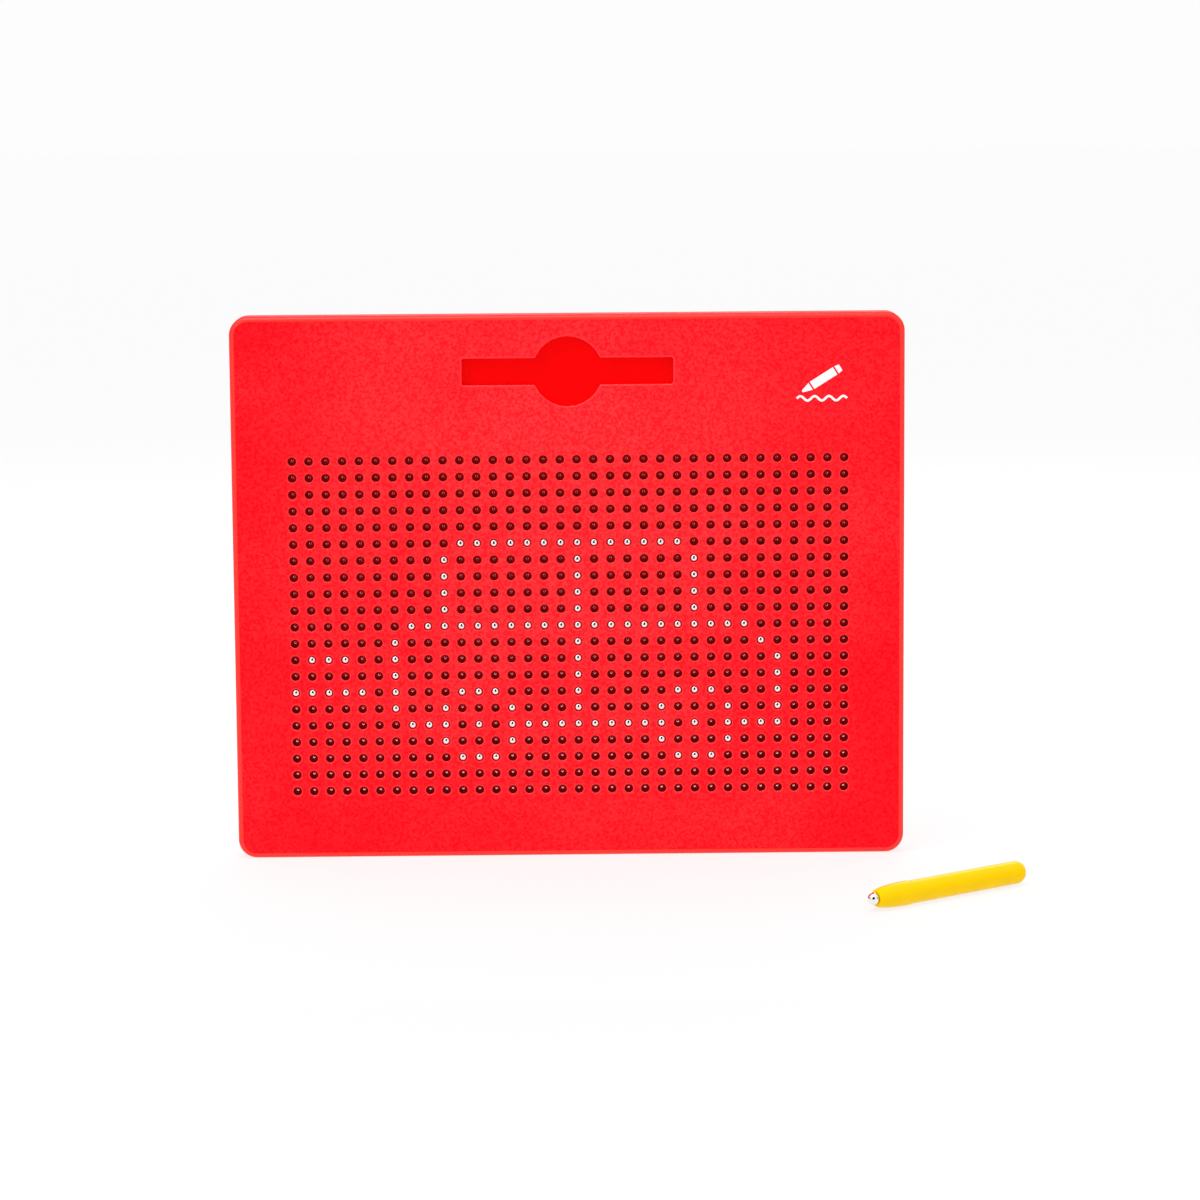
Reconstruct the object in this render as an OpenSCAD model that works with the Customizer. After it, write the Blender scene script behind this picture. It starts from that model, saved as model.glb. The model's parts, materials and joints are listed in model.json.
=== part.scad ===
// Magnetic bead drawing pad: steel beads are drawn up through a grid of holes
// with a magnet-tipped stylus, and pushed down again with a finger.
// The pad stands on its bottom edge with its face towards -Y. The origin is the
// middle of that edge, and the stylus lies in front of the pad's right corner.

/* [Pad] */
// Width of the pad
pad_width = 322; // [316:1:340]
// Height of the pad
pad_height = 262; // [260:1:280]
// Thickness of the pad
pad_depth = 14; // [14:0.5:18]
// Radius of the pad's corners, seen from the front
corner_radius = 9; // [6:0.5:12]
// Thickness of the casing's side walls
wall = 2.4; // [2.2:0.1:3]

/* [Beads] */
// Distance between neighbouring holes
pitch = 8; // [7.6:0.1:8.2]
// Diameter of the steel beads
bead_diameter = 4.5; // [4.4:0.05:4.5]
// Diameter of the holes in the front panel
hole_diameter = 4.1; // [4:0.05:4.1]
// Diameter of the wells that guide the beads
well_diameter = 5.2; // [5:0.1:5.4]
// Height of the lowest row of holes above the bottom edge
grid_height = 32.7; // [30:0.1:36]

/* [Stylus tray] */
// Length of the slot for the stylus
slot_length = 100.7; // [99:0.1:104]
// Width of the slot for the stylus
slot_width = 12.6; // [12:0.1:14]
// Diameter of the round finger recess across the slot
finger_diameter = 33.3; // [28:0.1:34]
// Distance from the pad's top edge to the middle of the slot
slot_drop = 27.1; // [26:0.1:28]
// Depth of the slot and the finger recess
slot_depth = 6.5; // [6:0.1:7]

/* [Stylus] */
// Length of the stylus
stylus_length = 97; // [90:1:98]
// Diameter of the stylus at the widest place of its nose
stylus_diameter = 11.2; // [11:0.1:11.6]
// Diameter of the steel ball at the tip
tip_diameter = 5.6; // [5:0.1:6]

/* [Hidden] */
columns = 34;
rows = 21;
row_names = [for (r = [1 : rows]) str("row_", r < 10 ? "0" : "", r)];

// The drawing on the pad, a small car, as strokes of raised beads:
// [first row, first column, last row, last column], counted from the top left.
strokes = [
    [5, 10, 5, 23],                                     // roof
    [6, 9, 9, 9], [6, 17, 9, 17], [6, 24, 9, 24],       // window pillars
    [10, 7, 10, 27],                                    // waistline
    [11, 6, 15, 6], [11, 28, 11, 28], [12, 29, 15, 29], // tail and nose
    [11, 17, 15, 17],                                   // door
    [16, 7, 16, 9], [16, 13, 16, 22], [16, 26, 16, 29], // sill
    [12, 1, 12, 3], [14, 0, 14, 4]                      // wind lines
];
wheel_row = 16;
wheel_columns = [11, 24];

function on_stroke(row, column) =
    len([for (s = strokes)
        if (row >= s[0] && row <= s[2] && column >= s[1] && column <= s[3]) 1]) > 0;
// A wheel is a ring of 12 beads, five across with its corners cut, round a hub.
function on_wheel(row, column) =
    let (up = abs(row - wheel_row))
    len([for (c = wheel_columns) let (out = abs(column - c))
        if ((up == 2 && out <= 1) || (out == 2 && up <= 1) || up + out == 0) 1]) > 0;
function is_raised(row, column) = on_stroke(row, column) || on_wheel(row, column);
function raised_in(row) = [for (c = [0 : columns - 1]) if (is_raised(row, c)) c];
function lowered_in(row) = [for (c = [0 : columns - 1]) if (!is_raised(row, c)) c];

raised_rows = [for (r = [0 : rows - 1]) if (len(raised_in(r)) > 0) r];

// Depths below the pad's front face.
lip_depth = 1;                      // back of the lip that stops a raised bead
raised_depth = 2.25;                // centre of a raised bead, flush with the face
film_front = 3.35;                  // the film lies between the panel and the tray
film_thickness = 0.2;
bead_travel = 3.9;
lowered_depth = raised_depth + bead_travel;
film_back = film_front + film_thickness;
well_floor = lowered_depth + bead_diameter / 2 + 0.15;
tray_back = well_floor + 1.35;
cover_thickness = 2;
cover_front = pad_depth - cover_thickness;
boss_back = 9;                      // where the screw bosses meet the cover's pillars

film_hole = 4.3;                    // a little smaller than a bead, which clicks through

// The grid of holes, in the pad's front view.
grid_width = (columns - 1) * pitch;
grid_top = grid_height + (rows - 1) * pitch;
grid_middle = (grid_height + grid_top) / 2;
layer_width = grid_width + 18;
layer_height = (rows - 1) * pitch + 18;

peg_radius = 1.4;
peg_play = 0.2;
peg_side = layer_width / 2 - 3;
peg_heights = [grid_height - 2.7, grid_middle, grid_top + 2.3];

slot_height = pad_height - slot_drop;
slot_corner = 1;
slot_floor = 2;

screw_radius = 1.5;
screw_head_radius = 2.8;
screw_head_height = 1.8;
screw_head_depth = 2.8;             // how far the head's pocket goes into the cover
screw_length = 6;
boss_radius = 4;
pillar_radius = 4.6;
side_screw = pad_width / 2 - 11;
end_screw = 12;
screw_places = [
    for (x = [-side_screw, -side_screw / 3, side_screw / 3, side_screw]) [x, end_screw],
    for (x = [-side_screw, side_screw], h = [95, 175]) [x, h],
    for (x = [-side_screw, -side_screw / 2, side_screw / 2, side_screw])
        [x, pad_height - end_screw]
];

cover_gap = 0.2;                    // play between the cover's locating ring and the walls
ring_width = 1.6;
ring_height = 1.5;
rib_width = 1.6;
rib_columns = [-120, -60, 0, 60, 120];
rib_heights = [70, 155];

// The stylus, measured along its axis from the tip.
stylus_x = 172;
stylus_y = -110;
stylus_turn = 38;                   // its tail points this far behind the pad's +X
stylus_radius = stylus_diameter / 2;
barrel_radius = stylus_radius - 0.25;
bore_radius = 3.8;
nose_front = 4.2;
nose_front_radius = 3.4;
seat_radius = 2.6;                  // the cone that the tip ball sits in
nose_end = 23.5;
spigot_end = 33;
tail_radius = 5;
magnet_front = 12;
magnet_back = 24;
magnet_radius = 3;
shank_radius = 1.6;

fine = 96;
coarse = 48;

// Draws its children in the pad's front view: X is across, Y is up, Z is depth.
module in_pad() {
    translate([0, -pad_depth / 2, 0]) rotate([90, 0, 0]) mirror([0, 0, 1]) children();
}

module outline(inset) {
    r = corner_radius - inset;
    w = pad_width - 2 * inset;
    h = pad_height - 2 * inset;
    translate([0, pad_height / 2]) {
        square([w - 2 * r, h], center = true);
        square([w, h - 2 * r], center = true);
        for (x = [-1, 1], y = [-1, 1])
            translate([x * (w / 2 - r), y * (h / 2 - r)]) circle(r = r, $fn = fine);
    }
}

module at_holes() {
    for (row = [0 : rows - 1], column = [0 : columns - 1])
        translate([(column - (columns - 1) / 2) * pitch, grid_top - row * pitch]) children();
}

module at_screws() {
    for (place = screw_places) translate([place[0], place[1]]) children();
}

module at_pegs() {
    for (x = [-peg_side, peg_side], h = peg_heights) translate([x, h]) children();
}

module bead_layer() {
    translate([0, grid_middle]) square([layer_width, layer_height], center = true);
}

// One hole: the throat, whose lip stops a raised bead, and its well behind.
module bead_hole() {
    throat = hole_diameter / 2;
    well = well_diameter / 2;
    rotate_extrude($fn = coarse)
        polygon([
            [0, -1], [throat, -1], [throat, lip_depth], [well, lip_depth],
            [well, film_front + 1], [0, film_front + 1]
        ]);
}

module slot_outline(grow) {
    translate([0, slot_height]) {
        length = slot_length + 2 * grow;
        width = slot_width + 2 * grow;
        r = slot_corner + grow;
        square([length - 2 * r, width], center = true);
        square([length, width - 2 * r], center = true);
        for (x = [-1, 1], y = [-1, 1])
            translate([x * (length / 2 - r), y * (width / 2 - r)]) circle(r = r, $fn = coarse);
        circle(d = finger_diameter + 2 * grow, $fn = fine);
    }
}

module front_panel() {
    color([0.95, 0.16, 0.2]) in_pad() difference() {
        union() {
            linear_extrude(film_front) outline(0);
            translate([0, 0, film_front]) linear_extrude(cover_front - film_front)
                difference() {
                    outline(0);
                    outline(wall);
                }
            linear_extrude(slot_depth + slot_floor) slot_outline(slot_floor);
            at_screws() linear_extrude(boss_back) circle(r = boss_radius, $fn = coarse);
        }
        at_holes() bead_hole();
        translate([0, 0, -1]) linear_extrude(slot_depth + 1) slot_outline(0);
        at_screws() translate([0, 0, lip_depth + 1.6])
            cylinder(r = screw_radius + 0.05, h = boss_back, $fn = coarse);
        at_pegs() translate([0, 0, lip_depth + 0.8])
            cylinder(r = peg_radius + peg_play, h = film_front, $fn = coarse);
    }
}

// The springy film whose holes hold each bead up or down.
module bead_film() {
    color([0.48, 0.04, 0.06]) in_pad() translate([0, 0, film_front])
        linear_extrude(film_thickness) difference() {
            bead_layer();
            at_holes() circle(d = film_hole, $fn = coarse);
            at_pegs() circle(r = peg_radius + peg_play, $fn = coarse);
        }
}

module bead_tray() {
    color([0.9, 0.08, 0.1]) in_pad() {
        difference() {
            translate([0, 0, film_back]) linear_extrude(tray_back - film_back) bead_layer();
            at_holes() translate([0, 0, film_back - 1])
                cylinder(d = well_diameter, h = well_floor - film_back + 1, $fn = coarse);
        }
        at_pegs() translate([0, 0, lip_depth + 1])
            cylinder(r = peg_radius, h = film_back - lip_depth, $fn = coarse);
    }
}

module rear_cover() {
    color([0.9, 0.14, 0.18]) in_pad() difference() {
        union() {
            translate([0, 0, cover_front]) linear_extrude(cover_thickness) outline(0);
            translate([0, 0, cover_front - ring_height]) linear_extrude(ring_height + 0.5)
                difference() {
                    outline(wall + cover_gap);
                    outline(wall + cover_gap + ring_width);
                }
            translate([0, grid_middle, tray_back]) linear_extrude(cover_front - tray_back) {
                for (x = rib_columns)
                    translate([x, 0]) square([rib_width, layer_height - 6], center = true);
                for (h = rib_heights)
                    translate([0, h - grid_middle])
                        square([layer_width - 6, rib_width], center = true);
            }
            at_screws() translate([0, 0, boss_back])
                cylinder(r = pillar_radius, h = cover_front - boss_back, $fn = coarse);
        }
        at_screws() translate([0, 0, boss_back - 1])
            cylinder(r = screw_radius + 0.25, h = pad_depth, $fn = coarse);
        at_screws() translate([0, 0, pad_depth - screw_head_depth])
            cylinder(r = screw_head_radius + 0.3, h = pad_depth, $fn = coarse);
    }
}

// Pan-head screws, each with a cross recess.
module case_screws() {
    slot = 0.9;
    head_front = pad_depth - screw_head_depth;
    color([0.6, 0.61, 0.63]) in_pad() at_screws() difference() {
        union() {
            translate([0, 0, head_front])
                cylinder(r = screw_head_radius, h = screw_head_height, $fn = coarse);
            translate([0, 0, head_front - screw_length])
                cylinder(r = screw_radius, h = screw_length + 0.5, $fn = coarse);
        }
        for (turn = [0, 90]) rotate([0, 0, turn])
            translate([0, 0, head_front + screw_head_height])
                cube([3.4, slot, 1.8], center = true);
    }
}

module beads(row, in_columns, depth) {
    in_pad() for (column = in_columns)
        translate([(column - (columns - 1) / 2) * pitch, grid_top - row * pitch, depth])
            sphere(d = bead_diameter, $fn = coarse);
}

// Draws its children along the stylus: the tip is at the start of the X axis.
module in_stylus() {
    translate([stylus_x, stylus_y, stylus_radius]) rotate([0, 0, stylus_turn])
        translate([-stylus_length / 2, 0, 0]) children();
}

// Turns an outline of [along, radius] points round the stylus's axis.
module turned(points) {
    rotate([0, 90, 0]) rotate([0, 0, 90]) rotate_extrude($fn = fine)
        polygon([for (p = points) [p[1], p[0]]]);
}

// Half the nose's outline: an arc that leaves the barrel along its axis.
nose_steps = 12;
nose_rise = stylus_radius - nose_front_radius;
nose_curve = [for (i = [0 : nose_steps])
    let (angle = 90 * i / nose_steps)
    [nose_end - 0.6 - (nose_end - 0.6 - nose_front) * cos(angle),
     nose_front_radius + nose_rise * sin(angle)]];

module pen_nose() {
    color([1, 0.8, 0.05]) in_stylus() turned(concat(
        [[nose_front + 1, shank_radius + 0.1], [nose_front, seat_radius],
         [nose_front, nose_front_radius]],
        [for (i = [1 : nose_steps]) nose_curve[i]],
        [[nose_end, stylus_radius], [nose_end, bore_radius - 0.05],
         [spigot_end, bore_radius - 0.05], [spigot_end, magnet_radius + 0.05],
         [magnet_front, magnet_radius + 0.05], [magnet_front, shank_radius + 0.1]]));
}

module pen_barrel() {
    inner_end = stylus_length - 3;
    start = stylus_length - tail_radius;
    flat = barrel_radius - tail_radius;
    tail = [for (angle = [0 : 10 : 90])
        [start + tail_radius * sin(angle), flat + tail_radius * cos(angle)]];
    color([1, 0.82, 0.08]) in_stylus() turned(concat(
        [[nose_end, bore_radius], [nose_end, barrel_radius]],
        tail,
        [[stylus_length, 0], [inner_end, 0], [inner_end, bore_radius]]));
}

module pen_tip_ball() {
    color([0.85, 0.86, 0.88]) in_stylus()
        translate([tip_diameter / 2, 0, 0]) rotate([0, 90, 0]) {
            sphere(d = tip_diameter, $fn = fine);
            cylinder(r = shank_radius, h = magnet_front - tip_diameter / 2, $fn = coarse);
        }
}

module pen_magnet() {
    color([0.7, 0.71, 0.74]) in_stylus() translate([magnet_front, 0, 0]) rotate([0, 90, 0])
        cylinder(r = magnet_radius, h = magnet_back - magnet_front, $fn = coarse);
}

// The plug pressed in behind the magnet.
module pen_magnet_plug() {
    color([0.95, 0.95, 0.93]) in_stylus() translate([magnet_back, 0, 0]) rotate([0, 90, 0])
        cylinder(r = magnet_radius, h = spigot_end - magnet_back, $fn = coarse);
}

front_panel();
bead_film();
bead_tray();
rear_cover();
case_screws();
pen_barrel();
pen_nose();
pen_tip_ball();
pen_magnet();
pen_magnet_plug();
for (r = [0 : rows - 1])
    color([0.75, 0.76, 0.78]) beads(r, lowered_in(r), lowered_depth);
for (r = raised_rows)
    color([0.9, 0.91, 0.93]) beads(r, raised_in(r), raised_depth);
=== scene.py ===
"""Magnetic bead drawing pad and its stylus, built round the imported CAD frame.

The pad's face looks towards -Y. Sizes are in metres, and a depth is measured from the
pad's front face towards its back.
"""

import json
import math

import bmesh
import bpy
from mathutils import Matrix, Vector, geometry


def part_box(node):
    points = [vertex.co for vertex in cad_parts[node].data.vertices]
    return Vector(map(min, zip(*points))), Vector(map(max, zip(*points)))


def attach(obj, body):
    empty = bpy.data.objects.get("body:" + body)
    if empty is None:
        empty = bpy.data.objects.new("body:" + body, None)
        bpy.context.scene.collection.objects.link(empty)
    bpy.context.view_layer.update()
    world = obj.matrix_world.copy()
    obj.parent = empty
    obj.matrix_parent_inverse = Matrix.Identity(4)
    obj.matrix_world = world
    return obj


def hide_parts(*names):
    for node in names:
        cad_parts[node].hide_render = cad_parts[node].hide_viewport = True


bl_info = {
    "name": "Bead Drawing Pad",
    "version": (1, 0, 0),
    "blender": (4, 5, 0),
    "location": "View3D > Sidebar > Bead Pad",
    "description": "Builds a magnetic bead drawing pad with its stylus and a small studio",
    "category": "Object",
}

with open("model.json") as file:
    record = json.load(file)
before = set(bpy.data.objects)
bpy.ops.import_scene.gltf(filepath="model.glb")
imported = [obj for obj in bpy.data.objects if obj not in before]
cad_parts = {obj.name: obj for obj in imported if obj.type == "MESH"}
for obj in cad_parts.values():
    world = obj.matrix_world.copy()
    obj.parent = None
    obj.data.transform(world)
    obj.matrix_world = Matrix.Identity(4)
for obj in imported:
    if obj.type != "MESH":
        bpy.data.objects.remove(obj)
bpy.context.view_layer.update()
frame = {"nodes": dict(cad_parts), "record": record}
MM = 0.001


# ---------------------------------------------------------------- the frame's own sizes


def mount(name):
    """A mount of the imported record, by name."""
    return next(m for m in frame["record"]["mounts"] if m["name"] == name)


PANEL_LOW, PANEL_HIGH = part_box("front_panel")
FRONT = PANEL_LOW.y
PAD_WIDTH = PANEL_HIGH.x - PANEL_LOW.x
PAD_HEIGHT = PANEL_HIGH.z - PANEL_LOW.z
PAD_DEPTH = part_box("rear_cover")[1].y - FRONT
SEAM_DEPTH = PANEL_HIGH.y - FRONT  # where the panel's walls meet the rear cover
CORNER_RADIUS = 9 * MM

ROWS, COLUMNS = 21, 34
TOP_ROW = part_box("row_01_lowered")
BOTTOM_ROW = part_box("row_21_lowered")
TOP_HOLE = (TOP_ROW[0].z + TOP_ROW[1].z) / 2
BOTTOM_HOLE = (BOTTOM_ROW[0].z + BOTTOM_ROW[1].z) / 2
PITCH = (TOP_HOLE - BOTTOM_HOLE) / (ROWS - 1)
BEAD_RADIUS = (TOP_ROW[1].y - TOP_ROW[0].y) / 2
GRID_LEFT = -COLUMNS * PITCH / 2
GRID_BOTTOM = BOTTOM_HOLE - PITCH / 2

SLOT_HEIGHT = mount("stylus_slot")["pos_m"][2]
TIP = Vector(mount("stylus_tip")["pos_m"])
ALONG = -Vector(mount("stylus_tip")["axis"]).normalized()


# ---------------------------------------------------------------- small helpers


def linear(hex_colour):
    """An sRGB hex colour as linear red, green and blue."""
    parts = [int(hex_colour[i : i + 2], 16) / 255 for i in (0, 2, 4)]
    return tuple(c / 12.92 if c <= 0.04045 else ((c + 0.055) / 1.055) ** 2.4 for c in parts)


def turn(start, end, steps):
    """Evenly spaced angles from start to end, both in degrees, as radians."""
    return [math.radians(start + (end - start) * i / steps) for i in range(steps + 1)]


def area(points):
    """Signed area of a flat outline, positive if it runs anticlockwise."""
    return sum(a.x * b.y - b.x * a.y for a, b in zip(points, points[1:] + points[:1])) / 2


class Build:
    """Vertices and faces of one piece, gathered before they become a mesh."""

    def __init__(self):
        self.points, self.faces, self.finish = [], [], []

    def point(self, x, y, z):
        self.points.append((x, y, z))
        return len(self.points) - 1

    def loop(self, outline, depth):
        """A closed loop of [x, z] points at a depth below the pad's face."""
        return [self.point(x, FRONT + depth, z) for x, z in outline]

    def face(self, corners, finish=0):
        self.faces.append(corners)
        self.finish.append(finish)

    def skin(self, first, second, finish=0):
        """Quads between two closed loops with as many points."""
        for i in range(len(first)):
            j = (i + 1) % len(first)
            self.face((first[i], first[j], second[j], second[i]), finish)

    def sweep(self, loops, finish=0):
        for first, second in zip(loops, loops[1:]):
            self.skin(first, second, finish)

    def flat(self, outer, holes, finish=0):
        """Fills the flat region inside a loop and outside the holes in it."""
        loops = [outer, *holes]
        used = [i for loop in loops for i in loop]
        where = [Vector((self.points[i][0], self.points[i][2])) / MM for i in used]
        # A clockwise outline would be filled on its outside.
        if area(where[: len(outer)]) < 0:
            where[: len(outer)] = where[: len(outer)][::-1]
            used[: len(outer)] = used[: len(outer)][::-1]
        faces, start = [], 0
        for loop in loops:
            faces.append(list(range(start, start + len(loop))))
            start += len(loop)
        made = geometry.delaunay_2d_cdt(where, [], faces, 1, 1e-4, True)
        corner = [used[found[0]] for found in made[3]]
        for triangle, inside in zip(made[2], made[5]):
            if inside == [0]:
                self.face([corner[i] for i in triangle], finish)

    def ball(self, centre, radius, segments, rings):
        """A sphere whose poles lie up and down."""
        bands = []
        for i in range(1, rings):
            down = math.pi * i / rings
            ring = [
                self.point(
                    centre[0] + radius * math.sin(down) * math.cos(round_),
                    centre[1] + radius * math.sin(down) * math.sin(round_),
                    centre[2] + radius * math.cos(down),
                )
                for round_ in turn(0, 360 - 360 / segments, segments - 1)
            ]
            bands.append(ring)
        self.sweep(bands)
        top = self.point(centre[0], centre[1], centre[2] + radius)
        bottom = self.point(centre[0], centre[1], centre[2] - radius)
        for i in range(segments):
            j = (i + 1) % segments
            self.face((top, bands[0][j], bands[0][i]))
            self.face((bottom, bands[-1][i], bands[-1][j]))

    def piece(self, name, materials, weld=True, crease=35):
        """The piece as a smooth-shaded object with its outward side out."""
        mesh = bpy.data.meshes.new(name)
        mesh.from_pydata(self.points, [], self.faces)
        for material in materials:
            mesh.materials.append(material)
        mesh.polygons.foreach_set("material_index", self.finish)
        shape = bmesh.new()
        shape.from_mesh(mesh)
        if weld:
            bmesh.ops.remove_doubles(shape, verts=shape.verts, dist=0.002 * MM)
        bmesh.ops.recalc_face_normals(shape, faces=shape.faces)
        shape.to_mesh(mesh)
        shape.free()
        mesh.shade_smooth()
        mesh.set_sharp_from_angle(angle=math.radians(crease))
        piece = bpy.data.objects.new(name, mesh)
        bpy.context.scene.collection.objects.link(piece)
        evened = piece.modifiers.new("Even normals", "WEIGHTED_NORMAL")
        evened.keep_sharp = True
        evened.weight = 100
        return piece


def rounded_rectangle(inset, steps=12):
    """The pad's outline moved inwards, as [x, z] points."""
    radius = CORNER_RADIUS - inset
    across = PAD_WIDTH / 2 - CORNER_RADIUS
    up = PAD_HEIGHT / 2 - CORNER_RADIUS
    middle = PANEL_LOW.z + PAD_HEIGHT / 2
    points = []
    for quarter, (side, level) in enumerate([(1, 1), (-1, 1), (-1, -1), (1, -1)]):
        for angle in turn(90 * quarter, 90 * quarter + 90, steps):
            x = side * across + radius * math.cos(angle)
            points.append((x, middle + level * up + radius * math.sin(angle)))
    return points


# ---------------------------------------------------------------- materials


def node(tree, kind, settings=None, links=None):
    """Adds a shader node, sets its values and joins its inputs to other nodes' outputs."""
    made = tree.nodes.new(kind)
    for key, value in (settings or {}).items():
        if key in made.inputs:
            made.inputs[key].default_value = value
        else:
            setattr(made, key, value)
    for key, output in (links or {}).items():
        tree.links.new(output, made.inputs[key])
    return made


def new_material(name, constants):
    """A material with one Principled shader that holds the given constants."""
    material = bpy.data.materials.new(name)
    material.use_nodes = True
    tree = material.node_tree
    tree.nodes.clear()
    shader = node(tree, "ShaderNodeBsdfPrincipled", constants)
    node(tree, "ShaderNodeOutputMaterial", links={"Surface": shader.outputs["BSDF"]})
    return material, tree, shader


def noise(tree, place, size_mm, detail=3.0, roughness=0.55):
    """Noise whose patches are about as wide as the given size."""
    return node(
        tree,
        "ShaderNodeTexNoise",
        {"Scale": 1 / (size_mm * MM), "Detail": detail, "Roughness": roughness},
        {"Vector": place},
    ).outputs["Fac"]


def mottled(tree, shader, place, colours, patch_mm, sheen_pair=None, contrast=0.5):
    """Patches of two shades; where a sheen pair is given, a painted sheen turns them to that paler
    pair in the case's middle.
    """
    sharpened = node(
        tree,
        "ShaderNodeMapRange",
        {"From Min": 0.5 - contrast / 2, "From Max": 0.5 + contrast / 2},
        {"Value": noise(tree, place, patch_mm)},
    ).outputs["Result"]
    shade = mixed(tree, sharpened, colours)
    if sheen_pair:
        sheen_shade = mixed(tree, sharpened, sheen_pair)
        shade = mixed(tree, painted_sheen_amount(tree, place), (shade, sheen_shade))
    tree.links.new(shade, shader.inputs["Base Color"])


# The painted sheen: the face is painted paler in its middle than along its margins.
SHEEN_HEIGHT = 0.62  # how high on the case the painted sheen's middle is
SHEEN_REACH = (0.58, 0.8)  # how far it reaches, in widths and heights of the case
SHEEN_PATCH_MM = 60
SHEEN_STRENGTH = 1.3
SHEEN_UNEVEN = 0.25  # how much patches add or take away


def painted_sheen_amount(tree, place):
    """How strong the painted sheen is: most in the case's middle, least along its margins."""
    centred = node(
        tree,
        "ShaderNodeMapping",
        {
            "vector_type": "TEXTURE",
            "Location": (0, 0, PANEL_LOW.z + SHEEN_HEIGHT * PAD_HEIGHT),
            "Scale": (SHEEN_REACH[0] * PAD_WIDTH, 1, SHEEN_REACH[1] * PAD_HEIGHT),
        },
        {"Vector": place},
    ).outputs["Vector"]
    middle = node(
        tree, "ShaderNodeTexGradient", {"gradient_type": "SPHERICAL"}, {"Vector": centred}
    ).outputs["Fac"]
    patches = node(
        tree,
        "ShaderNodeMapRange",
        {
            "From Min": 0.3,
            "From Max": 0.7,
            "To Min": -SHEEN_UNEVEN,
            "To Max": SHEEN_UNEVEN,
        },
        {"Value": noise(tree, place, SHEEN_PATCH_MM, 1.0)},
    ).outputs["Result"]
    both = node(
        tree,
        "ShaderNodeMath",
        {"operation": "MULTIPLY_ADD", "use_clamp": True},
        {"Value": middle},
    )
    both.inputs[1].default_value = SHEEN_STRENGTH
    tree.links.new(patches, both.inputs[2])
    return both.outputs["Value"]


def mixed(tree, factor, pair):
    """Mixes two colours, each a value or another node's output."""
    mix = node(tree, "ShaderNodeMix", {"data_type": "RGBA"})
    tree.links.new(factor, mix.inputs["Factor"])
    for socket, colour in zip((mix.inputs[6], mix.inputs[7]), pair):
        if isinstance(colour, bpy.types.NodeSocket):
            tree.links.new(colour, socket)
        else:
            socket.default_value = (*colour, 1)
    return mix.outputs[2]


def grained(tree, shader, place, grain_mm, height_mm, strength):
    """Fine bumps of one real size."""
    bump = node(
        tree,
        "ShaderNodeBump",
        {"Strength": strength, "Distance": height_mm * MM},
        {"Height": noise(tree, place, grain_mm, 2.0)},
    )
    tree.links.new(bump.outputs["Normal"], shader.inputs["Normal"])


def place_on_object(tree):
    return node(tree, "ShaderNodeTexCoord").outputs["Object"]


def grained_abs_with_sheen(colour, name="ABS, spark-eroded grain with painted sheen"):
    """A fine even grain that spreads the sheen, so the red stays deep from every side."""
    material, tree, shader = new_material(
        name, {"Roughness": 0.45, "IOR": 1.53, "Specular IOR Level": 0.05}
    )
    place = place_on_object(tree)
    # Real grain is about 0.1 mm across, too fine to show, so it is drawn at 0.9 mm. Paler patches
    # paint the white light that its tops scatter more than its pits, and a painted sheen makes the
    # middle of the face paler than its margins.
    grain_pair, sheen_pair = [
        [tuple(c + more for c in colour) for more in pair] for pair in ((0, 0.01), (0.008, 0.036))
    ]
    mottled(tree, shader, place, grain_pair, 1.3, sheen_pair, contrast=0.25)
    grained(tree, shader, place, grain_mm=0.9, height_mm=0.06, strength=0.6)
    return material


def polished_abs(colour, name="ABS, moulded on a polished tool"):
    """A smooth floor without grain, so it looks deeper and more saturated."""
    material, tree, shader = new_material(
        name, {"Roughness": 0.3, "IOR": 1.53, "Specular IOR Level": 0.03}
    )
    place = place_on_object(tree)
    mottled(tree, shader, place, (colour, tuple(c * 0.94 for c in colour)), patch_mm=30)
    return material


def smooth_sheen_abs(colour, name="ABS, smooth lips with painted sheen"):
    """Smooth lips and rim that catch more light than the grained face beside them; their paler red
    is painted sheen.
    """
    material, tree, shader = new_material(
        name, {"Roughness": 0.3, "IOR": 1.53, "Specular IOR Level": 0.3}
    )
    place = place_on_object(tree)
    mottled(tree, shader, place, (colour, tuple(c * 0.96 for c in colour)), patch_mm=5)
    return material


def gloss_abs(colour, name="ABS, gloss moulded"):
    """Glossy, with faint waves of sink that bend the highlights a little."""
    material, tree, shader = new_material(
        name,
        {
            "Roughness": 0.25,
            "IOR": 1.53,
            "Specular IOR Level": 0.06,
            "Sheen Weight": 0.6,
            "Sheen Roughness": 0.2,
        },
    )
    place = place_on_object(tree)
    mottled(tree, shader, place, (colour, tuple(c * 0.95 for c in colour)), patch_mm=12)
    grained(tree, shader, place, grain_mm=3.0, height_mm=0.05, strength=0.25)
    return material


def polished_steel(tint, name, roughness, wear):
    """Mirror-like, with hairline handling marks that soften the reflection in places."""
    material, tree, shader = new_material(
        name, {"Base Color": (*tint, 1), "Metallic": 1.0, "Roughness": roughness}
    )
    place = place_on_object(tree)
    rough = node(
        tree,
        "ShaderNodeMapRange",
        {"To Min": roughness, "To Max": roughness + wear},
        {"Value": noise(tree, place, 0.9, 4.0, 0.7)},
    )
    tree.links.new(rough.outputs["Result"], shader.inputs["Roughness"])
    return material


def dyed_film(colour, name="PET film, dyed and matt"):
    """Thin and dull, so it only shows as the dark edge behind a hole."""
    material, tree, shader = new_material(name, {"Roughness": 0.55, "IOR": 1.57})
    place = place_on_object(tree)
    mottled(tree, shader, place, (colour, tuple(c * 0.8 for c in colour)), patch_mm=9)
    return material


def screen_ink(colour, name="pad-printed ink"):
    """Flat opaque ink, slightly uneven where the pad lifted off."""
    material, tree, shader = new_material(name, {"Roughness": 0.5, "Specular IOR Level": 0.3})
    place = place_on_object(tree)
    mottled(tree, shader, place, (colour, tuple(c * 0.88 for c in colour)), patch_mm=1.5)
    return material


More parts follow.
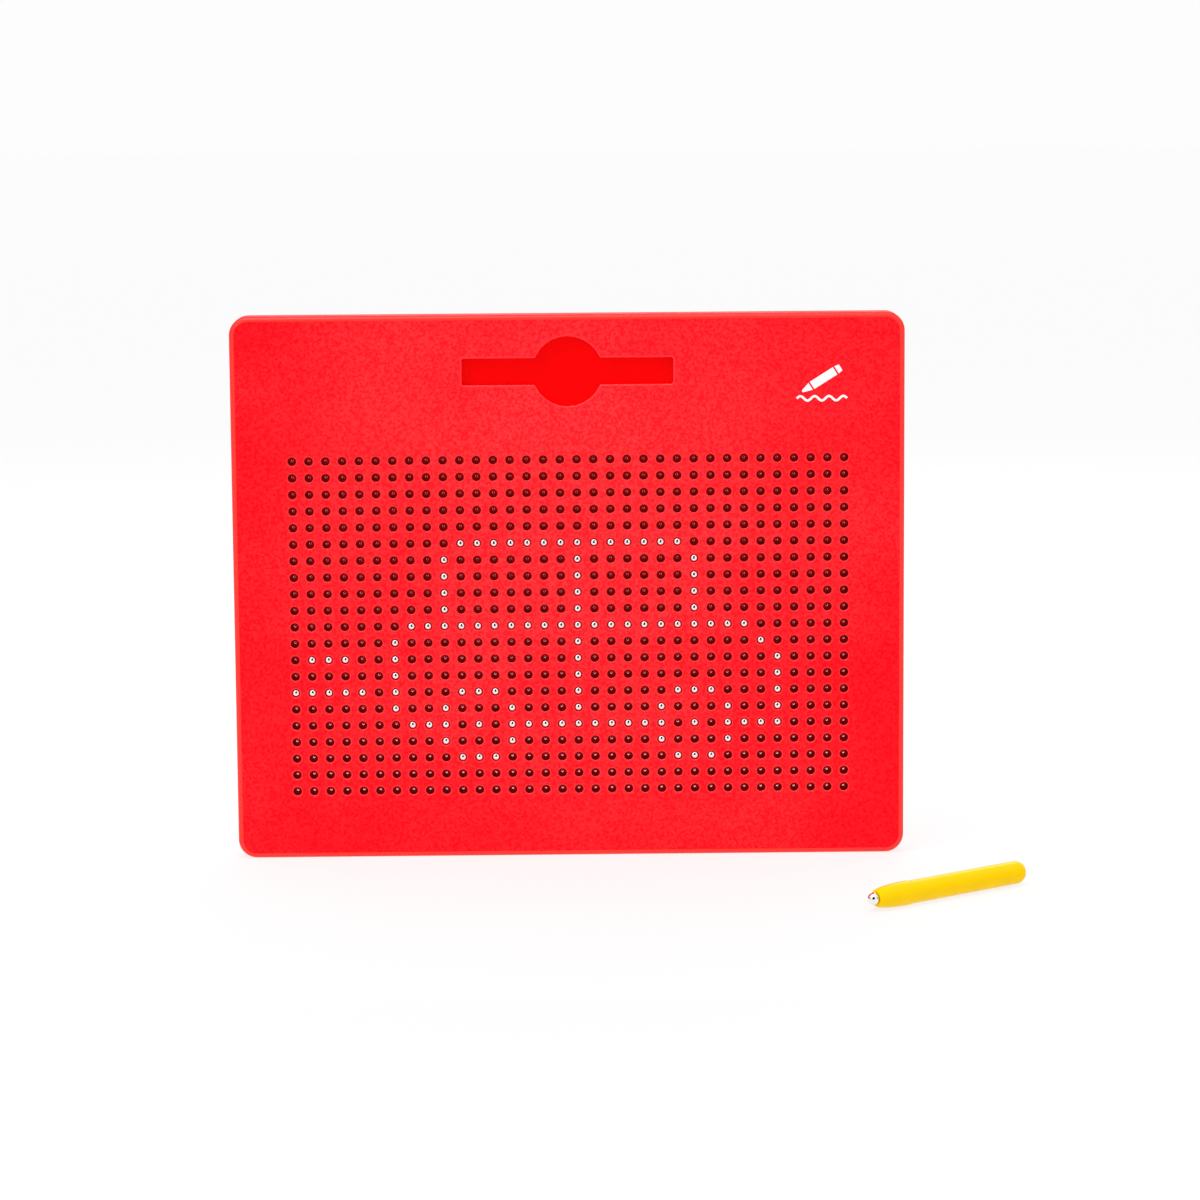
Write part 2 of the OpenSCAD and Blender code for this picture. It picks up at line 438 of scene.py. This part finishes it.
def matt_paper(colour, name="studio paper on a light table"):
    """Translucent paper lit from below: matt, and nearly free of shadows."""
    material, tree, shader = new_material(
        name,
        {
            "Roughness": 0.9,
            "Specular IOR Level": 0.1,
            "Emission Color": (1, 1, 1, 1),
            "Emission Strength": 0.75,
        },
    )
    place = place_on_object(tree)
    mottled(tree, shader, place, (colour, tuple(c * 0.995 for c in colour)), patch_mm=400)
    return material


# ---------------------------------------------------------------- settings


def length(name, description, default):
    return bpy.props.FloatProperty(
        name=name, description=description, default=default, unit="LENGTH", precision=5
    )


def colour(name, description, default):
    return bpy.props.FloatVectorProperty(
        name=name, description=description, default=linear(default), subtype="COLOR"
    )


class PadSettings(bpy.types.PropertyGroup):
    """Sizes and colours of the pad."""

    edge_radius: length("Edge radius", "Rounding of the front edge", 2.4 * MM)
    mouth_radius: length("Mouth radius", "Rounding of the stylus slot's mouth", 0.9 * MM)
    floor_radius: length(
        "Floor radius", "Rounding where the slot's walls meet its floor", 0.6 * MM
    )
    lip_radius: length("Lip radius", "Width of each hole's soft lip", 0.6 * MM)
    case: colour("Case", "Colour of the casing", "F80016")
    slot: colour("Slot floor", "Colour of the smooth slot", "FF0004")
    # The lips and the rim are painted paler than the case: painted sheen on their smooth edges.
    lip: colour("Hole lips", "Colour of the smooth lips round the holes", "FF2830")
    rim: colour("Rim", "Colour of the smooth rounded rim", "FF2C22")
    inner: colour("Bead tray", "Colour of the tray behind the film", "FF0C14")
    film: colour("Film", "Colour of the bead film", "A00A12")
    ink: colour("Ink", "Colour of the printed mark", "FFFFFF")


class StylusSettings(bpy.types.PropertyGroup):
    """Sizes and colours of the stylus."""

    nose_length: length("Nose length", "From the tip to the end of the nose", 23.5 * MM)
    plastic: colour("Plastic", "Colour of the barrel and nose", "FFD000")


class StageSettings(bpy.types.PropertyGroup):
    """The camera's place, as seen from the pad."""

    distance: length("Distance", "From the camera to the point it looks at", 1.928)
    pitch: bpy.props.FloatProperty(
        name="Pitch",
        description="How far the camera looks down",
        default=math.radians(8.0),
        subtype="ANGLE",
    )
    yaw: bpy.props.FloatProperty(
        name="Yaw",
        description="How far the camera stands to the left",
        default=math.radians(0.65),
        subtype="ANGLE",
    )
    roll: bpy.props.FloatProperty(
        name="Roll",
        description="How far the camera leans",
        default=math.radians(-0.42),
        subtype="ANGLE",
    )
    lens: bpy.props.FloatProperty(
        name="Lens", description="Focal length", default=120.0, unit="CAMERA"
    )


# ---------------------------------------------------------------- the pad


LIP_BACK = 1 * MM  # back of the lip that stops a raised bead
THROAT_RADIUS = 2.05 * MM
WELL_RADIUS = 2.6 * MM
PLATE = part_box("bead_film")[0].y - FRONT  # the face's thickness, up to the film
WALL = 2.4 * MM
SEAM_CHAMFER = 0.25 * MM
SIDE_POINTS = 5  # mesh points along a hole's square cell

SLOT_LENGTH, SLOT_WIDTH, SLOT_DEPTH = 100.7 * MM, 12.6 * MM, 6.5 * MM
SLOT_CORNER = 1 * MM
FINGER_RADIUS = 16.65 * MM
NECK_RADIUS = 1.2 * MM  # rounding where the slot runs into the finger recess
SLOT_SKIN = 2 * MM  # the plastic behind the slot's floor, seen only from inside
SLOT_WALL = 1.1 * MM  # and the plastic round its sides


def slot_outline(grow, steps=10):
    """The slot with its round finger recess, moved outwards, as [x, z] points."""
    half_length, half_width = SLOT_LENGTH / 2, SLOT_WIDTH / 2
    neck = math.sqrt((FINGER_RADIUS + NECK_RADIUS) ** 2 - (half_width + NECK_RADIUS) ** 2)
    lean = math.degrees(math.atan2(half_width + NECK_RADIUS, neck))
    neck_radius = NECK_RADIUS - grow
    corner = SLOT_CORNER + grow

    def bend(x, z, radius, start, end):
        return [
            (x + radius * math.cos(a), z + radius * math.sin(a)) for a in turn(start, end, steps)
        ]

    up = half_width + NECK_RADIUS
    end_x, end_z = half_length - SLOT_CORNER, half_width - SLOT_CORNER
    wide = FINGER_RADIUS + grow
    points = bend(end_x, end_z, corner, 0, 90)
    points += bend(neck, up, neck_radius, 270, 180 + lean)
    points += bend(0, 0, wide, lean, 180 - lean)[1:-1]
    points += bend(-neck, up, neck_radius, -lean, -90)
    points += bend(-end_x, end_z, corner, 90, 180)
    points += bend(-end_x, -end_z, corner, 180, 270)
    points += bend(-neck, -up, neck_radius, 90, lean)
    points += bend(0, 0, wide, 180 + lean, 360 - lean)[1:-1]
    points += bend(neck, -up, neck_radius, 180 - lean, 90)
    points += bend(end_x, -end_z, corner, 270, 360)
    return [(x, SLOT_HEIGHT + z) for x, z in points]


def hole_grid(build, lip):
    """All the holes, each in a square cell of its own. Returns the grid's front and back edges."""
    turns = turn(45, 405, 4 * SIDE_POINTS)[:-1]
    step = PITCH / SIDE_POINTS
    lattice = {}

    def corner(i, j, depth):
        key = (i, j, depth)
        if key not in lattice:
            lattice[key] = build.point(
                GRID_LEFT + i * step, FRONT + depth, GRID_BOTTOM + j * step
            )
        return lattice[key]

    def border(left, low, wide, high, depth):
        """A rectangle's points, from its upper right corner and anticlockwise."""
        right, top = left + wide, low + high
        return (
            [corner(right - k, top, depth) for k in range(wide)]
            + [corner(left, top - k, depth) for k in range(high)]
            + [corner(left + k, low, depth) for k in range(wide)]
            + [corner(right, low + k, depth) for k in range(high)]
        )

    rings = [
        (THROAT_RADIUS + lip, 0),
        (THROAT_RADIUS + 0.35 * lip, 0.12 * lip),
        (THROAT_RADIUS, 0.5 * lip),
        (THROAT_RADIUS, LIP_BACK),
        (WELL_RADIUS, PLATE),
    ]
    for row in range(ROWS):
        for column in range(COLUMNS):
            left, low = column * SIDE_POINTS, row * SIDE_POINTS
            x = GRID_LEFT + (column + 0.5) * PITCH
            z = GRID_BOTTOM + (row + 0.5) * PITCH
            loops = [border(left, low, SIDE_POINTS, SIDE_POINTS, 0)]
            for radius, depth in rings:
                circle = [(x + radius * math.cos(a), z + radius * math.sin(a)) for a in turns]
                loops.append(build.loop(circle, depth))
            loops.append(border(left, low, SIDE_POINTS, SIDE_POINTS, PLATE))
            build.sweep(loops[:2])
            # The lips, in their paler red: painted sheen.
            build.sweep(loops[1:4], 2)
            build.sweep(loops[3:])
    whole = (0, 0, COLUMNS * SIDE_POINTS, ROWS * SIDE_POINTS)
    return border(*whole, 0), border(*whole, PLATE)


def edge_arc(radius, steps=6):
    """[inset, depth] points round a convex quarter circle, from the face to the side."""
    return [
        (radius * (1 - math.sin(a)), radius * (1 - math.cos(a))) for a in turn(0, 90, steps)
    ]


class BEADPAD_OT_front_panel(bpy.types.Operator):
    """Moulds the front panel: rounded rim, 714 lipped holes and the stylus slot"""

    bl_idname = "beadpad.front_panel"
    bl_label = "Front panel"

    def execute(self, context):
        pad = context.scene.bead_pad
        build = Build()
        grid_front, grid_back = hole_grid(build, pad.lip_radius)

        rim = edge_arc(pad.edge_radius) + [
            (0, SEAM_DEPTH - SEAM_CHAMFER),
            (SEAM_CHAMFER, SEAM_DEPTH),
            (WALL, SEAM_DEPTH),
            (WALL, PLATE),
        ]
        rim_loops = [build.loop(rounded_rectangle(inset), depth) for inset, depth in rim]
        # The rounded rim's front band, in its paler red: painted sheen.
        build.sweep(rim_loops[:5], 3)
        build.sweep(rim_loops[4:])

        foot = pad.floor_radius
        slot = [(grow, depth) for grow, depth in edge_arc(pad.mouth_radius, 4)]
        slot += [
            (foot * (math.cos(a) - 1), SLOT_DEPTH - foot + foot * math.sin(a))
            for a in turn(0, 90, 3)
        ]
        slot_loops = [build.loop(slot_outline(grow), depth) for grow, depth in slot]
        # The slot's rounded mouth takes the lips' paler red: painted sheen.
        build.sweep(slot_loops[:4], 2)
        build.sweep(slot_loops[3:], 1)
        build.flat(slot_loops[-1], [], 1)

        skin = slot_outline(SLOT_WALL)
        skin_front = build.loop(skin, PLATE)
        skin_back = build.loop(skin, SLOT_DEPTH + SLOT_SKIN)
        build.skin(skin_front, skin_back)
        build.flat(skin_back, [])

        build.flat(rim_loops[0], [grid_front, slot_loops[0]])
        build.flat(rim_loops[-1], [grid_back, skin_front])

        panel = build.piece(
            "front_panel_moulding",
            [
                grained_abs_with_sheen(pad.case),
                polished_abs(pad.slot),
                smooth_sheen_abs(pad.lip),
                smooth_sheen_abs(pad.rim, "ABS, smooth rim with painted sheen"),
            ],
        )
        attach(panel, "pad")
        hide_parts("front_panel")
        return {"FINISHED"}


SCREW_POCKET, SCREW_BORE, PILLAR = 3.1 * MM, 1.75 * MM, 4.6 * MM
POCKET_FLOOR = 11.2 * MM
PILLAR_END = 9 * MM
SCREW_REACH = 12 * MM  # points nearer each other than this belong to one screw
COVER_EDGE = 1.5 * MM  # the most that the cover's back edge is rounded
POCKET_EDGE = 0.3 * MM


def screw_places():
    """Where the screws' middles lie, from the screws' own meshes."""
    places = []
    for vertex in frame["nodes"]["case_screws"].data.vertices:
        x, z = vertex.co.x, vertex.co.z
        near = [p for p in places if math.dist(p[:2], (x, z)) < SCREW_REACH]
        if near:
            near[0][2].append((x, z))
        else:
            places.append((x, z, [(x, z)]))
    return [
        (
            (min(p[0] for p in spots) + max(p[0] for p in spots)) / 2,
            (min(p[1] for p in spots) + max(p[1] for p in spots)) / 2,
        )
        for _, _, spots in places
    ]


class BEADPAD_OT_rear_cover(bpy.types.Operator):
    """Moulds the rear cover with its sunk screw pockets"""

    bl_idname = "beadpad.rear_cover"
    bl_label = "Rear cover"

    def execute(self, context):
        pad = context.scene.bead_pad
        build = Build()
        rim = [(SEAM_CHAMFER, SEAM_DEPTH), (0, SEAM_DEPTH + SEAM_CHAMFER)]
        rim += [
            (inset, PAD_DEPTH - depth)
            for inset, depth in reversed(edge_arc(min(pad.edge_radius, COVER_EDGE)))
        ]
        rim_loops = [build.loop(rounded_rectangle(inset), depth) for inset, depth in rim]
        build.sweep(rim_loops)

        bore = [(PILLAR, SEAM_DEPTH), (PILLAR, PILLAR_END), (SCREW_BORE, PILLAR_END)]
        bore += [(SCREW_BORE, POCKET_FLOOR), (SCREW_POCKET, POCKET_FLOOR)]
        bore += [(SCREW_POCKET, PAD_DEPTH - POCKET_EDGE)]
        bore += [(SCREW_POCKET + POCKET_EDGE, PAD_DEPTH)]
        insides, outsides = [], []
        for x, z in screw_places():
            loops = []
            for radius, depth in bore:
                circle = [
                    (x + radius * math.cos(a), z + radius * math.sin(a))
                    for a in turn(0, 345, 23)
                ]
                loops.append(build.loop(circle, depth))
            build.sweep(loops)
            insides.append(loops[0])
            outsides.append(loops[-1])
        build.flat(rim_loops[0], insides)
        build.flat(rim_loops[-1], outsides)

        cover = build.piece("rear_cover_moulding", [grained_abs_with_sheen(pad.case)])
        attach(cover, "pad")
        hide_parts("rear_cover")
        return {"FINISHED"}


class BEADPAD_OT_inner_parts(bpy.types.Operator):
    """Finishes the parts inside the case: bead tray, film and casing screws"""

    bl_idname = "beadpad.inner_parts"
    bl_label = "Inner parts"

    def execute(self, context):
        pad = context.scene.bead_pad
        finishes = {
            "bead_tray": grained_abs_with_sheen(pad.inner, "ABS, moulded, inside the case"),
            "bead_film": dyed_film(pad.film),
            "case_screws": polished_steel(linear("B9BCC2"), "zinc-plated steel", 0.3, 0.15),
        }
        for name, material in finishes.items():
            mesh = frame["nodes"][name].data
            mesh.materials.clear()
            mesh.materials.append(material)
        return {"FINISHED"}


def bead_places(name):
    """The middles of a row's beads, from the row's own mesh."""
    low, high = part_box(name)
    first = GRID_LEFT + PITCH / 2
    used = {round((v.co.x - first) / PITCH) for v in frame["nodes"][name].data.vertices}
    y, z = (low.y + high.y) / 2, (low.z + high.z) / 2
    return [(first + column * PITCH, y, z) for column in sorted(used)]


class BEADPAD_OT_beads(bpy.types.Operator):
    """Sets a polished steel bead in every well, row by row"""

    bl_idname = "beadpad.beads"
    bl_label = "Beads"

    def execute(self, context):
        steel = polished_steel(linear("F4F4F2"), "bearing steel, polished", 0.05, 0.05)
        for name in frame["nodes"]:
            if not name.startswith("row_"):
                continue
            segments = 28 if name.endswith("raised") else 18
            build = Build()
            for place in bead_places(name):
                build.ball(place, BEAD_RADIUS, segments, segments // 2)
            beads = build.piece(name.replace("row", "beads"), [steel], weld=False, crease=80)
            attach(beads, name)
            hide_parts(name)
        return {"FINISHED"}


# ---------------------------------------------------------------- the printed mark


INK_PROUD = 0.03 * MM
MARK_MIDDLE = (119.5 * MM, 228.5 * MM)
MARK_UNIT = 1.2 * MM


def stroke(points, width):
    """A flat ribbon along [x, z] points, as one outline."""
    left, right = [], []
    for i, (x, z) in enumerate(points):
        before, after = points[max(i - 1, 0)], points[min(i + 1, len(points) - 1)]
        along = Vector((after[0] - before[0], after[1] - before[1])).normalized()
        side = Vector((-along.y, along.x)) * width / 2
        left.append((x + side.x, z + side.y))
        right.append((x - side.x, z - side.y))
    return left + right[::-1]


def mark_outlines():
    """A small crayon over the wavy line it has drawn, from the mark's middle."""
    lean = math.radians(32)
    across, up = math.cos(lean), math.sin(lean)

    def leaned(points):
        return [(x * across - z * up + 1.5, x * up + z * across + 1.4) for x, z in points]

    body = leaned([(-4.6, -1.7), (6.2, -1.7), (6.2, 1.7), (-4.6, 1.7)])
    cap = leaned([(6.9, -1.7), (8.8, -1.3), (8.8, 1.3), (6.9, 1.7)])
    point = leaned([(-5.3, 1.6), (-9.2, 0.4), (-9.2, -0.4), (-5.3, -1.6)])
    wave = [(t - 8.5, -6.2 + 0.9 * math.sin(t * 1.1)) for t in (0.5 * i for i in range(41))]
    return [body, cap, point, stroke(wave, 0.9)]


class BEADPAD_OT_printed_mark(bpy.types.Operator):
    """Prints a plain crayon motif near the top right corner"""

    bl_idname = "beadpad.printed_mark"
    bl_label = "Printed mark"

    def execute(self, context):
        build = Build()
        for outline in mark_outlines():
            points = [
                (MARK_MIDDLE[0] + x * MARK_UNIT, MARK_MIDDLE[1] + z * MARK_UNIT)
                for x, z in outline
            ]
            top, foot = build.loop(points, -INK_PROUD), build.loop(points, 0)
            build.skin(top, foot)
            build.flat(top, [])
            build.flat(foot, [])
        mark = build.piece("printed_mark", [screen_ink(context.scene.bead_pad.ink)])
        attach(mark, "pad")
        return {"FINISHED"}


# ---------------------------------------------------------------- the stylus


LATHE_SEGMENTS = 72
SIDEWAYS = ALONG.cross(Vector((0, 0, 1))).normalized()
UPWARDS = SIDEWAYS.cross(ALONG)


def lathe(build, profile, segments=LATHE_SEGMENTS):
    """Turns a closed outline of [along, radius] points round the stylus's axis."""
    rings = []
    for along, radius in profile:
        middle = TIP + ALONG * along
        if radius == 0:
            rings.append([build.point(*middle)] * segments)
            continue
        rings.append(
            [
                build.point(*(middle + (SIDEWAYS * math.cos(a) + UPWARDS * math.sin(a)) * radius))
                for a in turn(0, 360 - 360 / segments, segments - 1)
            ]
        )
    for first, second in zip(rings, rings[1:] + rings[:1]):
        for i in range(segments):
            j = (i + 1) % segments
            corners = list(dict.fromkeys((first[i], first[j], second[j], second[i])))
            if len(corners) > 2:
                build.face(corners)


BORE_RADIUS = 3.8 * MM
NOSE_FRONT, NOSE_FRONT_RADIUS = 4.2 * MM, 3.4 * MM
NOSE_RADIUS = 5.6 * MM
BARREL_RADIUS = 5.35 * MM
MAGNET_FRONT, MAGNET_BORE = 12 * MM, 3.05 * MM
SHANK_BORE, SEAT_RADIUS = 1.7 * MM, 2.6 * MM
SPIGOT_END = 33 * MM
STYLUS_LENGTH = 97 * MM
TAIL_RADIUS = 5 * MM
TAIL_WALL = 3 * MM
SOFT_EDGE = 0.25 * MM
TIP_RADIUS = 2.8 * MM
SHANK_RADIUS = 1.6 * MM


class BEADPAD_OT_stylus_body(bpy.types.Operator):
    """Turns the stylus's ogive nose and its round-ended barrel"""

    bl_idname = "beadpad.stylus_body"
    bl_label = "Stylus body"

    def execute(self, context):
        stylus = context.scene.bead_stylus
        plastic = gloss_abs(stylus.plastic)
        end = stylus.nose_length
        crown = end - 0.6 * MM
        reach, rise = crown - NOSE_FRONT, NOSE_RADIUS - NOSE_FRONT_RADIUS

        def ogive(a):
            return (crown - reach * math.cos(a), NOSE_FRONT_RADIUS + rise * math.sin(a))

        curve = [ogive(a) for a in turn(2, 90, 24)]
        nose = [(NOSE_FRONT + 1 * MM, SHANK_BORE), (NOSE_FRONT, SEAT_RADIUS)]
        nose += [(NOSE_FRONT, NOSE_FRONT_RADIUS - SOFT_EDGE)]
        nose += [(NOSE_FRONT + 0.1 * SOFT_EDGE, NOSE_FRONT_RADIUS - 0.3 * SOFT_EDGE)]
        nose += curve
        nose += [(end - 0.08 * MM, NOSE_RADIUS), (end, NOSE_RADIUS - 0.08 * MM)]
        nose += [(end, BORE_RADIUS - 0.05 * MM), (SPIGOT_END, BORE_RADIUS - 0.05 * MM)]
        nose += [(SPIGOT_END, MAGNET_BORE), (MAGNET_FRONT, MAGNET_BORE)]
        nose += [(MAGNET_FRONT, SHANK_BORE)]
        self.finish_piece("stylus_nose", nose, plastic, "pen_nose")

        start = STYLUS_LENGTH - TAIL_RADIUS
        flat = BARREL_RADIUS - TAIL_RADIUS
        barrel = [(end, BORE_RADIUS), (end, BARREL_RADIUS - 0.1 * MM)]
        barrel += [(end + 0.1 * MM, BARREL_RADIUS)]
        barrel += [
            (start + TAIL_RADIUS * math.sin(a), flat + TAIL_RADIUS * math.cos(a))
            for a in turn(0, 90, 16)
        ]
        barrel += [(STYLUS_LENGTH, 0), (STYLUS_LENGTH - TAIL_WALL, 0)]
        barrel += [(STYLUS_LENGTH - TAIL_WALL, BORE_RADIUS)]
        self.finish_piece("stylus_barrel", barrel, plastic, "pen_barrel")
        return {"FINISHED"}

    def finish_piece(self, name, profile, material, cad_node):
        build = Build()
        lathe(build, profile)
        piece = build.piece(name, [material], crease=50)
        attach(piece, "stylus")
        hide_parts(cad_node)


class BEADPAD_OT_stylus_tip(bpy.types.Operator):
    """Polishes the steel ball tip and finishes the magnet and plug behind it"""

    bl_idname = "beadpad.stylus_tip"
    bl_label = "Stylus tip"

    def execute(self, context):
        steel = polished_steel(linear("F2F2F0"), "chrome steel, ground and polished", 0.06, 0.05)
        build = Build()
        neck = math.asin(SHANK_RADIUS / TIP_RADIUS)
        profile = [
            (TIP_RADIUS * (1 - math.cos(a)), TIP_RADIUS * math.sin(a))
            for a in turn(0, 180 - math.degrees(neck), 30)
        ]
        profile[0] = (0, 0)
        profile += [(MAGNET_FRONT, SHANK_RADIUS), (MAGNET_FRONT, 0)]
        lathe(build, profile, 64)
        tip = build.piece("stylus_tip", [steel], crease=50)
        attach(tip, "stylus")
        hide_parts("pen_tip_ball")

        finishes = {
            "pen_magnet": polished_steel(linear("C9CCD2"), "nickel-plated magnet", 0.22, 0.1),
            "pen_magnet_plug": gloss_abs(linear("F2F1EC"), "polyethylene, moulded"),
        }
        for name, material in finishes.items():
            mesh = frame["nodes"][name].data
            mesh.materials.clear()
            mesh.materials.append(material)
        return {"FINISHED"}


# ---------------------------------------------------------------- the stage


def area_light(name, place, target, size, power):
    """A soft rectangular light that faces its target."""
    light = bpy.data.lights.new(name, "AREA")
    light.shape = "RECTANGLE"
    light.size, light.size_y = size
    light.energy = power
    lamp = bpy.data.objects.new(name, light)
    bpy.context.scene.collection.objects.link(lamp)
    lamp.location = place
    aim = Vector(target) - Vector(place)
    lamp.rotation_euler = aim.to_track_quat("-Z", "Y").to_euler()


AIM = Vector((14.8 * MM, 0, 123.8 * MM))  # what the camera looks at
FLOOR_REACH = 12.0
# Name, place, target, size and watts of each light.
LIGHTS = [
    ("overhead", (-0.3, -0.4, 1.6), (0, 0, 0), (1.2, 0.8), 9),
    ("front left", (-1.3, -1.3, 1.3), (0, 0, 0.12), (0.8, 0.6), 3),
    ("behind", (0.3, 1.4, 1.0), (0.15, 0, 0), (1.2, 0.25), 5),
]
# A dark disc stands just behind the camera, and its middle is lifted above the line of
# sight. The strip over it is in [across, up] points from that middle, and the dark
# carpet is in [half width, distance in front of the pad] points.
SCREEN_RADIUS, SCREEN_LIFT = 0.92, 0.45
SCREEN_PLACE = 1.05  # how far off it stands, in camera distances
SCREEN_TOP = [(-0.45, 0.8), (0.45, 0.8), (0.15, 2.6), (-0.15, 2.6)]
CARPET = [(0.2, 0.3), (0.5, 1.0), (1.0, 2.05)]
TENT_WHITE = 0.98
# The tent's side walls fade from full to dim as the sideways part of a ray's direction
# goes from the first number to the second.
WALLS_BEGIN, WALLS_FULL, WALLS_DIM = 0.8, 0.97, 0.35


class BEADPAD_OT_stage(bpy.types.Operator):
    """Sets the floor, the soft light and the camera"""

    bl_idname = "beadpad.stage"
    bl_label = "Stage"

    def execute(self, context):
        scene = context.scene
        settings = scene.bead_stage
        back = Vector(
            (
                -math.sin(settings.yaw) * math.cos(settings.pitch),
                -math.cos(settings.yaw) * math.cos(settings.pitch),
                math.sin(settings.pitch),
            )
        )
        camera = bpy.data.objects.new("camera", bpy.data.cameras.new("camera"))
        scene.collection.objects.link(camera)
        camera.data.lens = settings.lens
        camera.data.sensor_width = 36.0
        camera.data.clip_end = 100
        camera.location = AIM + back * settings.distance
        straight = (-back).to_track_quat("-Z", "Y")
        camera.rotation_euler = straight.to_euler()
        camera.rotation_euler.rotate_axis("Z", settings.roll)
        scene.camera = camera

        floor = bpy.data.meshes.new("floor")
        corners = [(-1, -1), (1, -1), (1, 1), (-1, 1)]
        floor.from_pydata(
            [(x * FLOOR_REACH, y * FLOOR_REACH, 0) for x, y in corners], [], [(0, 1, 2, 3)]
        )
        floor.materials.append(matt_paper(linear("7C7C7C")))
        floor_object = bpy.data.objects.new("floor", floor)
        scene.collection.objects.link(floor_object)

        self.dark_screen(back, settings.distance)

        world = bpy.data.worlds.new("studio")
        world.use_nodes = True
        scene.world = world
        world.node_tree.nodes.clear()
        self.softbox(world.node_tree)
        for light in LIGHTS:
            area_light(*light)
        scene.view_settings.view_transform = "Standard"
        return {"FINISHED"}

    def softbox(self, tree):
        """A white tent whose left and right walls are grey, which draws the edges darker."""
        direction = node(tree, "ShaderNodeTexCoord").outputs["Generated"]
        sideways = node(tree, "ShaderNodeSeparateXYZ", links={"Vector": direction}).outputs["X"]
        off_axis = node(
            tree, "ShaderNodeMath", {"operation": "ABSOLUTE"}, {"Value": sideways}
        ).outputs["Value"]
        walls = node(
            tree,
            "ShaderNodeMapRange",
            {
                "From Min": WALLS_BEGIN,
                "From Max": WALLS_FULL,
                "To Min": 1.0,
                "To Max": WALLS_DIM,
            },
            {"Value": off_axis},
        ).outputs["Result"]
        unseen = node(tree, "ShaderNodeLightPath").outputs["Is Camera Ray"]
        brightness = node(
            tree, "ShaderNodeMath", {"operation": "MAXIMUM"}, {"Value": walls}
        )
        tree.links.new(unseen, brightness.inputs[1])
        sky = node(
            tree,
            "ShaderNodeBackground",
            {"Color": (TENT_WHITE, TENT_WHITE, TENT_WHITE, 1)},
            {"Strength": brightness.outputs["Value"]},
        )
        node(tree, "ShaderNodeOutputWorld", links={"Surface": sky.outputs["Background"]})

    def dark_screen(self, back, distance):
        """What the beads mirror from round the camera: a dark screen and a dark floor."""
        across = back.cross(Vector((0, 0, 1))).normalized()
        up = across.cross(back)
        if up.z < 0:
            up = -up
        middle = AIM + back * (distance * SCREEN_PLACE) + up * SCREEN_LIFT
        screen = [
            middle + (across * math.cos(a) + up * math.sin(a)) * SCREEN_RADIUS
            for a in turn(0, 345, 23)
        ]
        shapes = [
            screen,
            [middle + across * x + up * z for x, z in SCREEN_TOP],
            [Vector((x, -y, 1 * MM)) for x, y in CARPET]
            + [Vector((-x, -y, 1 * MM)) for x, y in reversed(CARPET)],
        ]
        points = [point for shape in shapes for point in shape]
        faces, start = [], 0
        for shape in shapes:
            faces.append(list(range(start, start + len(shape))))
            start += len(shape)
        mesh = bpy.data.meshes.new("dark screen")
        mesh.from_pydata(points, [], faces)
        material, _, _ = new_material(
            "black flocked cloth",
            {"Base Color": (0.004, 0.004, 0.004, 1), "Roughness": 1.0, "Specular IOR Level": 0.0},
        )
        mesh.materials.append(material)
        card = bpy.data.objects.new("dark_screen", mesh)
        bpy.context.scene.collection.objects.link(card)
        card.visible_camera = False
        card.visible_shadow = False
        card.visible_diffuse = False


# ---------------------------------------------------------------- panel and registration


OPERATORS = [
    BEADPAD_OT_front_panel,
    BEADPAD_OT_rear_cover,
    BEADPAD_OT_inner_parts,
    BEADPAD_OT_beads,
    BEADPAD_OT_printed_mark,
    BEADPAD_OT_stylus_body,
    BEADPAD_OT_stylus_tip,
    BEADPAD_OT_stage,
]
SETTINGS = {
    "bead_pad": PadSettings,
    "bead_stylus": StylusSettings,
    "bead_stage": StageSettings,
}


class BEADPAD_PT_sidebar(bpy.types.Panel):
    """Lists the settings and the pieces"""

    bl_idname = "BEADPAD_PT_sidebar"
    bl_label = "Bead drawing pad"
    bl_space_type = "VIEW_3D"
    bl_region_type = "UI"
    bl_category = "Bead Pad"

    def draw(self, context):
        for name, group in SETTINGS.items():
            box = self.layout.box()
            for prop in group.__annotations__:
                box.prop(getattr(context.scene, name), prop)
        for operator in OPERATORS:
            self.layout.operator(operator.bl_idname)


def register():
    for group in SETTINGS.values():
        bpy.utils.register_class(group)
    for name, group in SETTINGS.items():
        setattr(bpy.types.Scene, name, bpy.props.PointerProperty(type=group))
    for operator in OPERATORS:
        bpy.utils.register_class(operator)
    bpy.utils.register_class(BEADPAD_PT_sidebar)


def unregister():
    bpy.utils.unregister_class(BEADPAD_PT_sidebar)
    for operator in reversed(OPERATORS):
        bpy.utils.unregister_class(operator)
    for name in SETTINGS:
        delattr(bpy.types.Scene, name)
    for group in reversed(SETTINGS.values()):
        bpy.utils.unregister_class(group)


def main():
    register()
    for operator in OPERATORS:
        getattr(bpy.ops.beadpad, operator.bl_idname.split(".")[1])()


if __name__ == "__main__":
    main()
